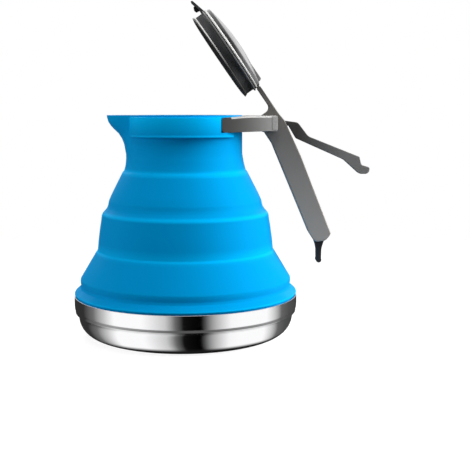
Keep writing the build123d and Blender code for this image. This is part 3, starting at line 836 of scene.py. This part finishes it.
def paint_edge_highlight(material, colour):
    """Paint a pale highlight on the faces that are marked as edge."""
    nodes = material.node_tree.nodes
    links = material.node_tree.links
    mark = nodes.new("ShaderNodeAttribute")
    mark.attribute_name = "edge"
    edge_highlight = nodes.new("ShaderNodeMix")
    edge_highlight.data_type = "RGBA"
    edge_highlight.inputs["B"].default_value = (*colour, 1.0)
    links.new(mark.outputs["Fac"], edge_highlight.inputs["Factor"])
    links.new(nodes["Group"].outputs["Colour"], edge_highlight.inputs["A"])
    links.new(edge_highlight.outputs["Result"], nodes["Principled BSDF"].inputs["Base Color"])


def mark_highlight_faces(shape, wanted):
    """Mark the faces that get a painted highlight, where a test accepts their middle, in mm, and
    normal.
    """
    mark = shape.data.attributes.new("edge", "FLOAT", "FACE")
    for face, note in zip(shape.data.polygons, mark.data):
        note.value = 1.0 if wanted(face.center / MM, face.normal) else 0.0


yoke_nylon = moulded(
    "yoke_nylon", (0.028, 0.028, 0.027), (0.23, 0.228, 0.225), 0.1, (0.34, 0.46), 1900.0, 0.05
)
# Painted shading: the arms go from dark at the neck to lighter towards the lugs, as light falls along
# them.
paint_shading_along(yoke_nylon, "X", 24.0, 70.0, 1.9)
# Painted highlight on the arms' top edges, whose faces are marked further down.
paint_edge_highlight(yoke_nylon, (0.5, 0.5, 0.49))

YOKE_END, YOKE_START = (68.9, 14.2), (28.3, 36.5)
RING_INNER = 43.05
YOKE_LOW, YOKE_HIGH = 154.3, 166.0
ARM_STEPS, RING_STEPS = 12, 24
ARM_BULGE = 1.1

# The outline runs along one arm's outside to the neck, round the neck, and back along the other arm
arm = []
for step in range(ARM_STEPS + 1):
    share = step / ARM_STEPS
    bulge = ARM_BULGE * sin(pi * share)
    arm.append(
        (
            YOKE_END[0] + (YOKE_START[0] - YOKE_END[0]) * share + 0.48 * bulge,
            YOKE_END[1] + (YOKE_START[1] - YOKE_END[1]) * share + 0.88 * bulge,
        )
    )
start_angle = atan2(32.4, 28.3)
for step in range(RING_STEPS):
    angle = start_angle * (1 - step / RING_STEPS)
    arm.append((RING_INNER * cos(angle), RING_INNER * sin(angle)))
arm_outline = arm + [(RING_INNER, 0.0)] + [(x, -y) for x, y in reversed(arm)]
arm_outline += [(YOKE_END[0], -8.9), (48.4, -8.9), (48.4, 8.9), (YOKE_END[0], 8.9)]
yoke = outline_block("yoke", arm_outline, YOKE_LOW, YOKE_HIGH)
# Its top sinks towards the neck, and its underside rises towards the hinge
for point in yoke.data.vertices:
    across = point.co.x / MM
    if point.co.z / MM > (YOKE_LOW + YOKE_HIGH) / 2:
        point.co.z -= 1.5 * (1.0 - soft_step(26.0, 50.0, across)) * MM
    else:
        point.co.z += (0.7 * soft_step(28.0, 68.9, across) - 0.3) * MM
bevel_edges(yoke, 2.4, 5, lambda a, b: max(a.x, b.x) < 29.0 and abs(a.z - b.z) < 0.5)
bevel_edges(yoke, 1.4, 2, lambda a, b: min(a.z, b.z) > 164.2 and min(a.x, b.x) > 31.0)
round_edges(yoke, 0.35, angle=38.0, segments=2)
# Mark the arms' top edges for the painted highlight.
mark_highlight_faces(
    yoke, lambda middle, normal: middle.z > 163.5 and middle.x > 36.0 and 0.2 < normal.z < 0.96
)
shelf = block("shelf", (48.0, -5.0, 154.5), (54.0, 5.0, 156.6))
round_edges(shelf, 0.4)
pads = []
for side in (-1, 1):
    pad_outline = [(65.0, 16.0), (65.0, 17.0), (69.4, 14.5), (69.4, 9.4), (66.0, 9.4)]
    pad = outline_block("lug_pad", [(x, side * y) for x, y in pad_outline], 155.2, 165.6)
    round_edges(pad, 0.5, angle=30.0)
    pads.append(pad)
yoke = join([yoke, shelf, *pads])
finish_piece(yoke, yoke_nylon, "neck", "handle_plastic", "handle_yoke")

# Lever. Dark nylon, screwed under the yoke's slot: a finger rest that runs out between the bar's
# rails and ends in the hook that the latch snaps over.
dark_nylon = moulded(
    "dark_nylon", (0.03, 0.031, 0.033), (0.05, 0.051, 0.053), 0.7, (0.3, 0.42), 1900.0, 0.05
)
lever_nylon = moulded(
    "lever_nylon", (0.045, 0.045, 0.044), (0.2, 0.198, 0.195), 0.1, (0.34, 0.46), 1900.0, 0.05
)
# Painted shading: the lever goes lighter towards the hook.
paint_shading_along(lever_nylon, "X", 84.0, 124.0)
lever = outline_block(
    "lever",
    rounded(
        [
            (48.4, 156.6, 0.8),
            (55.2, 156.6, 1.0),
            (58.4, 153.7, 1.5),
            (66.0, 153.7, 1.5),
            (70.4, 157.9, 2.0),
            (78.0, 158.5, 1.2),
            (83.6, 148.9, 3.0),
            (119.8, 132.9, 9.0),
            (131.6, 122.3, 4.0),
            (139.0, 122.3, 3.2),
            (139.4, 127.2, 1.3),
            (133.1, 129.0, 2.6),
            (131.6, 135.2, 1.0),
            (92.8, 150.6, 7.0),
            (84.9, 160.9, 4.0),
            (67.0, 163.3, 9.0),
            (48.4, 163.3, 0.8),
        ]
    ),
    -4.2,
    4.2,
    flat="Y",
)
round_edges(lever, 0.6, angle=50.0)
finish_piece(lever, lever_nylon, "neck", "lever_plastic", "carry_lever")

# Bar. One grey nylon moulding: the grip's two rails and end bridge, the boss on the hinge pin, and
# the thin arm that carries the lid. It is drawn with the lid shut and swung open into place.
OPEN_TURN = radians(55.5)
HINGE = (61.8, 158.4)


def swing_open(shape):
    """Turn a piece from the shut lid's frame, measured from the hinge, to where it is when open."""
    deselect()
    shape.select_set(True)
    bpy.context.view_layer.objects.active = shape
    shape.rotation_euler = (0.0, OPEN_TURN, 0.0)
    shape.location = (HINGE[0] * MM, 0.0, HINGE[1] * MM)
    bpy.ops.object.transform_apply(location=True, rotation=True, scale=False)


bar_nylon = moulded(
    "bar_nylon", (0.034, 0.033, 0.032), (0.405, 0.385, 0.358), 0.1, (0.36, 0.48), 1900.0, 0.05
)
# Painted shading: darker near the hinge and lighter towards the grip's lower end.
paint_shading_along(bar_nylon, "Z", 215.0, 70.0, 1.15)
bar = outline_block(
    "bar",
    rounded(
        [
            (-27.6, 9.3, 1.0),
            (-8.7, 9.3, 4.2),
            (-8.7, -4.4, 4.4),
            (13.0, -4.6, 8.0),
            (84.0, -19.4, 6.0),
            (92.8, -19.7, 4.2),
            (96.6, -12.0, 5.0),
            (94.6, -5.9, 2.0),
            (33.0, 8.1, 30.0),
            (4.6, 13.0, 6.0),
            (-3.0, 12.2, 20.0),
            (-27.6, 12.2, 1.0),
        ],
        steps=8,
    ),
    -8.5,
    8.5,
    flat="Y",
)
round_edges(bar, 1.0, angle=50.0, segments=2)
slot_cutter = outline_block(
    "slot",
    [
        (-14.0, -30.0),
        (-14.0, 9.3),
        (-0.6, 9.3),
        (-0.6, 18.0),
        (84.4, 18.0),
        (84.4, -5.9),
        (99.0, -9.3),
        (99.0, -30.0),
    ],
    -5.5,
    5.5,
    flat="Y",
)
carve(bar, slot_cutter)
for side in (-1, 1):
    taper = outline_block(
        "taper",
        [(-31.0, side * 6.5), (-12.0, side * 8.5), (-12.0, side * 13.0), (-31.0, side * 13.0)],
        8.0,
        16.0,
    )
    carve(bar, taper)
round_edges(bar, 0.35, angle=60.0, segments=2)
swing_open(bar)
finish_piece(bar, bar_nylon, "rocker", "handle_plastic", "handle_bar")

# Latch. A dark nylon tongue that swings on its pin at the bar's end, with a bead at its tip.
# It hangs straight down, as it is left free.
LATCH_ALONG, LATCH_BELOW = 88.8, 12.7  # the pin's place on the shut bar, from the hinge
latch_x = HINGE[0] + LATCH_ALONG * cos(OPEN_TURN) - LATCH_BELOW * sin(OPEN_TURN)
latch_z = HINGE[1] - LATCH_ALONG * sin(OPEN_TURN) - LATCH_BELOW * cos(OPEN_TURN)


def arc(radius, height, start, end, step):
    """Outline points round (0, height), in mm, from a start angle to before an end, in degrees."""
    turns = [radians(angle) for angle in range(start, end, step)]
    return [(radius * cos(turn), height + radius * sin(turn)) for turn in turns]


tongue = [
    *arc(4.1, 0.0, 0, 181, 12),
    (-3.95, -6.2),
    (-2.6, -10.2),
    (-1.95, -13.3),
    *arc(2.1, -21.3, 150, 391, 15),
    (1.95, -13.3),
    (2.6, -10.2),
    (3.95, -6.2),
]
latch = outline_block("latch", [(latch_x + x, latch_z + z) for x, z in tongue], -5.1, 5.1, flat="Y")
round_edges(latch, 0.5, angle=50.0)
finish_piece(latch, dark_nylon, "latch", "lever_plastic", "prop_latch")

# Lid plate. The dark nylon flange that closes the mouth, with the tab that covers the beak and two
# ears for the arm's knuckle. All of the lid is drawn shut and swung open with the bar.
LID_X = -HINGE[0]


def move_to_lid(shape):
    """Shift a turned piece from the origin to the lid's axis in the shut lid's frame."""
    deselect()
    shape.select_set(True)
    bpy.context.view_layer.objects.active = shape
    shape.location = (LID_X * MM, 0.0, 0.0)
    bpy.ops.object.transform_apply(location=True, rotation=False, scale=False)


plate = turned(
    "lid_flange",
    [
        (4.0, 6.2, 0),
        (33.7, 6.2, 0.2),
        (33.7, 8.9, 0.2),
        (4.0, 8.9, 0),
    ],
    solid=True,
)
move_to_lid(plate)
tab = outline_block(
    "tab",
    rounded(
        [
            (LID_X - 30.0, 8.85, 0),
            (LID_X - 34.6, 8.85, 1.0),
            (LID_X - 37.0, 8.2, 1.0),
            (LID_X - 45.1, 6.0, 0.5),
            (LID_X - 45.2, 4.4, 0.5),
            (LID_X - 36.5, 6.4, 1.0),
            (LID_X - 30.0, 6.4, 0),
        ]
    ),
    -5.0,
    5.0,
    flat="Y",
)
round_edges(tab, 0.4, angle=50.0)
parts_of_plate = [plate, tab]
for side in (-1, 1):
    ear = outline_block(
        "ear",
        rounded([(-32.2, 8.0, 0), (-27.6, 8.0, 0), (-27.6, 12.6, 1.8), (-31.2, 12.6, 1.8)]),
        side * 5.0 - 1.2,
        side * 5.0 + 1.2,
        flat="Y",
    )
    round_edges(ear, 0.25, angle=50.0)
    parts_of_plate.append(ear)
plate = join(parts_of_plate)
swing_open(plate)
finish_piece(plate, dark_nylon, "lid", "lid_plastic", "lid_plate")

# Plate's bead. A turned rim on the flange's edge, one moulding with it; its paler grey is a painted
# highlight.
bead_highlight_nylon = moulded(
    "bead_highlight_nylon", (0.14, 0.14, 0.141), (0.2, 0.2, 0.201), 0.5, (0.2, 0.3), 1900.0, 0.02
)
plate_bead = turned(
    "plate_bead",
    [(33.0, 7.1, 0), (35.2, 7.1, 0.3), (35.2, 8.1, 0.3), (33.0, 8.1, 0)],
)
move_to_lid(plate_bead)
swing_open(plate_bead)
finish_piece(plate_bead, bead_highlight_nylon, "lid", "lid_plastic", "lid_plate")

# Plug. The cup that enters the mouth: a straight wall with fine upright ribs, in the same dark nylon,
# and a low rim round the seal. Every second step of the turned wall is pressed in for the ribs.
PLUG_RIBS = 168
PLUG_RADIUS, RIB_ROOT = 33.6, 33.2
plug = turned(
    "lid_plug_wall",
    [
        (30.0, 0.8, 0), (PLUG_RADIUS, 0.8, 0.1), (PLUG_RADIUS, 2.0, 0), (PLUG_RADIUS, 5.8, 0),
        (PLUG_RADIUS, 6.2, 0), (4.0, 6.2, 0), (4.0, 1.3, 0), (30.0, 1.3, 0),
    ],
    steps=PLUG_RIBS * 2,
)
for point in plug.data.vertices:
    step = round(atan2(point.co.y, point.co.x) / (pi / PLUG_RIBS))
    if 1.9 < point.co.z / MM < 5.9 and step % 2:
        point.co.x *= RIB_ROOT / PLUG_RADIUS
        point.co.y *= RIB_ROOT / PLUG_RADIUS
move_to_lid(plug)
swing_open(plug)
finish_piece(plug, dark_nylon, "lid", "lid_plastic", "lid_plug")

# Seal. A black silicone disc under the plug, a little wider than it, with a soft glossy edge and a
# shallow recess that hides the washer and the screw's head.
black_silicone = moulded(
    "black_silicone", (0.008, 0.008, 0.008), (0.012, 0.012, 0.012), 0.5, (0.18, 0.26), 2200.0, 0.01
)
seal = turned(
    "seal_disc",
    [
        (1.6, 0.5, 0), (19.0, 0.5, 0), (19.0, -2.1, 0.4), (26.0, -2.1, 1.0), (31.5, -1.8, 1.0),
        (34.75, -1.2, 0.3), (34.75, -0.5, 0.15), (34.2, -0.2, 0.1), (29.8, -0.2, 0), (29.8, 1.1, 0),
        (1.6, 1.1, 0),
    ],
)
move_to_lid(seal)
swing_open(seal)
finish_piece(seal, black_silicone, "lid", "seal_rubber", "lid_seal")

# Seal's pale back. Between the black disc and the plug a thin pale layer shows as a line, and painted
# shade darkens it towards the hinge.
seal_back_shaded_silicone = moulded(
    "seal_back_shaded_silicone", (0.9, 0.9, 0.88), (0.045, 0.045, 0.045), 0.05, (0.3, 0.4), 2200.0, 0.02
)
# Painted shade, darker towards the hinge.
paint_shading_along(seal_back_shaded_silicone, "X", 14.0, 34.0)
seal_back = turned(
    "seal_back",
    [(30.0, -0.3, 0), (34.0, -0.3, 0.1), (34.4, 0.0, 0.1), (34.0, 0.9, 0.1), (30.0, 0.9, 0)],
)
move_to_lid(seal_back)
swing_open(seal_back)
finish_piece(seal_back, seal_back_shaded_silicone, "lid", "seal_rubber", "lid_seal")

# Bumper. A small rubber foot under the tab, where it comes down on the beak's lip.
bumper = outline_block(
    "bumper",
    rounded(
        [
            (LID_X - 41.1, 5.4, 0.2),
            (LID_X - 40.7, 4.0, 0.5),
            (LID_X - 38.8, 3.2, 0.7),
            (LID_X - 36.8, 3.8, 0.7),
            (LID_X - 36.6, 6.4, 0.2),
        ]
    ),
    -3.2,
    3.2,
    flat="Y",
)
round_edges(bumper, 0.4, angle=50.0)
swing_open(bumper)
finish_piece(bumper, black_silicone, "lid", "seal_rubber", "tab_bumper")

# Gasket. The pale silicone line between plate and cap, with a round edge; notched for the knuckle.
def cut_notch(shape):
    """Make room for the arm's knuckle at the lid's edge, in the shut lid's frame."""
    carve(shape, block("notch", (-32.2, -6.5, 7.0), (-24.0, 6.5, 13.2)))


pale_silicone = moulded(
    "pale_silicone", (0.86, 0.86, 0.84), (0.36, 0.36, 0.35), 0.1, (0.4, 0.5), 2200.0, 0.02
)
# Painted shade: the pale line turns grey towards the hinge.
paint_shading_along(pale_silicone, "X", 36.0, 56.0)
gasket = turned(
    "gasket",
    [(31.0, 8.8, 0), (34.3, 8.8, 0.1), (34.8, 9.5, 0.4), (34.3, 10.35, 0.1), (31.0, 10.35, 0)],
)
move_to_lid(gasket)
cut_notch(gasket)
swing_open(gasket)
finish_piece(gasket, pale_silicone, "lid", "pale_gasket", "lid_gasket")

# Cap. A low dome of dark nylon with a straight band, and the raised housing over the knuckle.
lid_nylon = moulded(
    "lid_nylon", (0.045, 0.045, 0.046), (0.3, 0.3, 0.302), 0.06, (0.16, 0.24), 1900.0, 0.02
)
lid_nylon.node_tree.nodes["Principled BSDF"].inputs["Specular IOR Level"].default_value = 0.5
# Painted light: the cap and housing go paler towards the hinge, where light falls on their tops.
paint_shading_along(lid_nylon, "X", 36.0, 66.0)
DOME_EDGE, DOME_FOOT, DOME_RISE, DOME_STEPS = 33.2, 12.9, 4.2, 10
dome_radius = (DOME_EDGE**2 + DOME_RISE**2) / (2 * DOME_RISE)
dome = []
for step in range(1, DOME_STEPS + 1):
    reach = DOME_EDGE * (1 - step / (DOME_STEPS + 0.6))  # the last ring stays off the axis
    dome.append((reach, DOME_FOOT + DOME_RISE - dome_radius + (dome_radius**2 - reach**2) ** 0.5, 0))
cap = turned(
    "cap",
    [(2.0, 10.1, 0), (33.1, 10.1, 0.2), (33.6, 10.6, 0.2), (33.4, DOME_FOOT, 0.7), *dome],
    solid=True,
)
move_to_lid(cap)
housing = outline_block(
    "housing",
    rounded(
        [
            (-50.0, 12.0, 0),
            (-47.5, 15.8, 1.6),
            (-40.0, 15.9, 3.0),
            (-31.4, 15.9, 0.8),
            (-30.6, 14.6, 0.4),
            (-31.2, 12.0, 0),
        ]
    ),
    -8.0,
    8.0,
    flat="Y",
)
round_edges(housing, 0.7, angle=50.0)
cut_notch(cap)
cut_notch(housing)
cap = join([cap, housing])
swing_open(cap)
finish_piece(cap, lid_nylon, "lid", "lid_plastic", "lid_cap")
